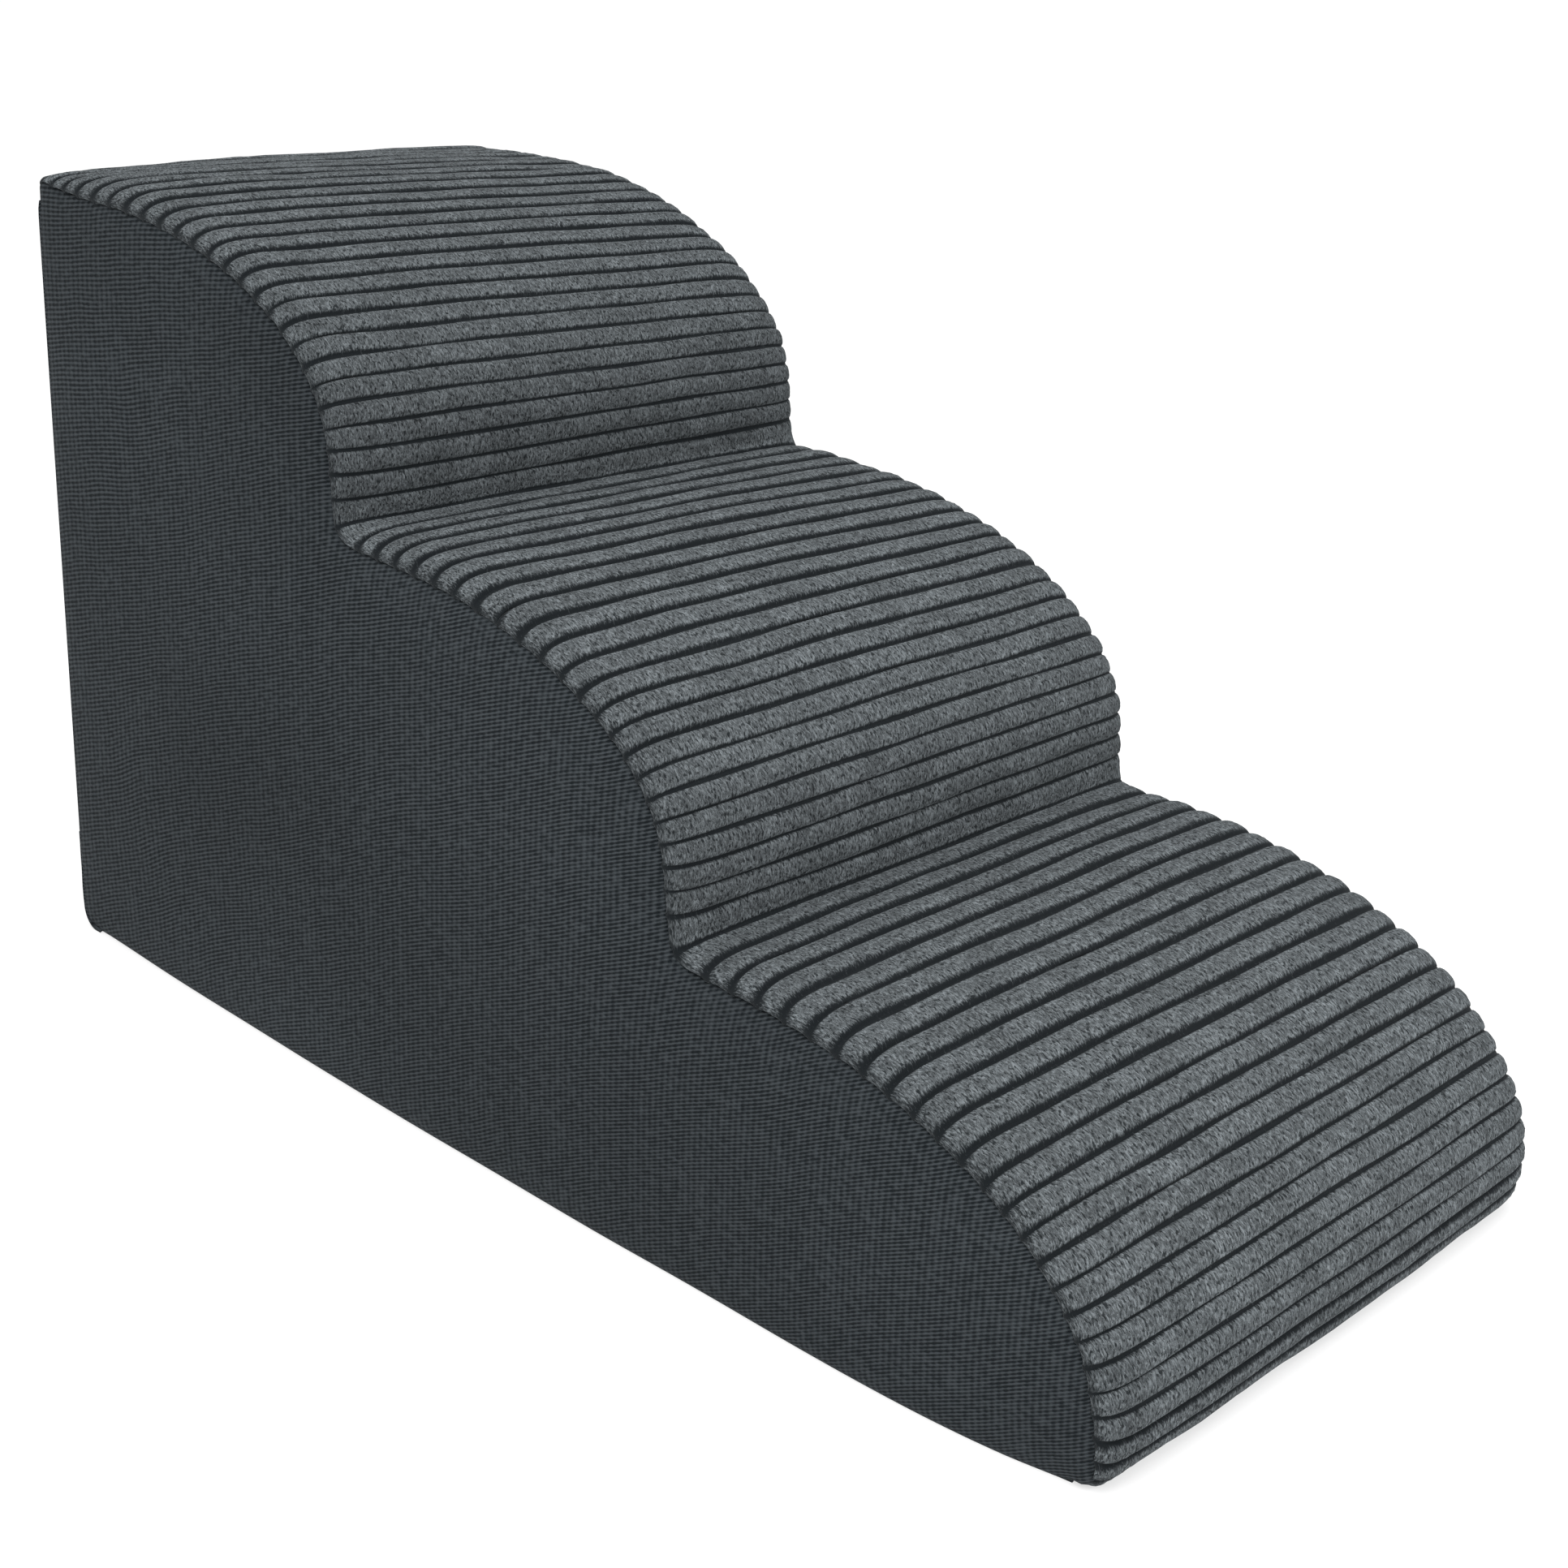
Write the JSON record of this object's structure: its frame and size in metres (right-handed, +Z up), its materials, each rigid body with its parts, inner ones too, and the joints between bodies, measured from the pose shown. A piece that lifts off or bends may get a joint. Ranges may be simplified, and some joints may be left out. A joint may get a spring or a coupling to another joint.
{
  "type": "dog ramp",
  "caption": "Low foam pet stair with rounded steps, a wide-ribbed corduroy tread cover, flat woven sides and a zip across the back, for a small dog to climb onto a sofa or bed.",
  "frame": {"origin": "centre of the footprint, on the floor", "axes": "+Z up, the low front step faces -Y, the high back faces +Y, +X along the width"},
  "size_m": [0.28, 0.6958, 0.4],
  "materials": {
    "foam": "open-cell polyurethane foam",
    "corduroy": "wide-wale corduroy pile",
    "woven": "coarse plain weave",
    "base_fabric": "anti-slip fabric with moulded dots",
    "thread": "polyester sewing thread",
    "label": "satin ribbon",
    "zip_tape": "woven herringbone tape",
    "zip_coil": "nylon coil",
    "stop_metal": "pressed metal",
    "slider_metal": "black painted zinc"
  },
  "bodies": {
    "ramp": {"foam_core": "foam", "tread_panel": "corduroy", "side_panel_left": "woven", "side_panel_right": "woven", "back_panel": "woven", "back_skirt": "woven", "base_panel": "base_fabric", "side_seam_left": "thread", "side_seam_right": "thread", "care_label": "label", "zip_tape_upper": "zip_tape", "zip_tape_lower": "zip_tape", "zip_coil_upper": "zip_coil", "zip_coil_lower": "zip_coil", "top_stop_upper": "stop_metal", "top_stop_lower": "stop_metal", "bottom_stop": "stop_metal", "zip_end_tab_left": "woven", "zip_end_tab_right": "woven"},
    "slider": {"zip_slider": "slider_metal"},
    "pull": {"zip_pull": "slider_metal"}
  },
  "joints": [
    {"name": "zip_slide", "type": "slide", "parent": "ramp", "child": "slider", "axis": [-1, 0, 0], "range_m": [0, 0.225]},
    {"name": "zip_pull_swing", "type": "hinge", "parent": "slider", "child": "pull", "pos_m": [0.1125, 0.3457, 0.04], "axis": [0, 0, -1], "range_deg": [0, 170]}
  ]
}
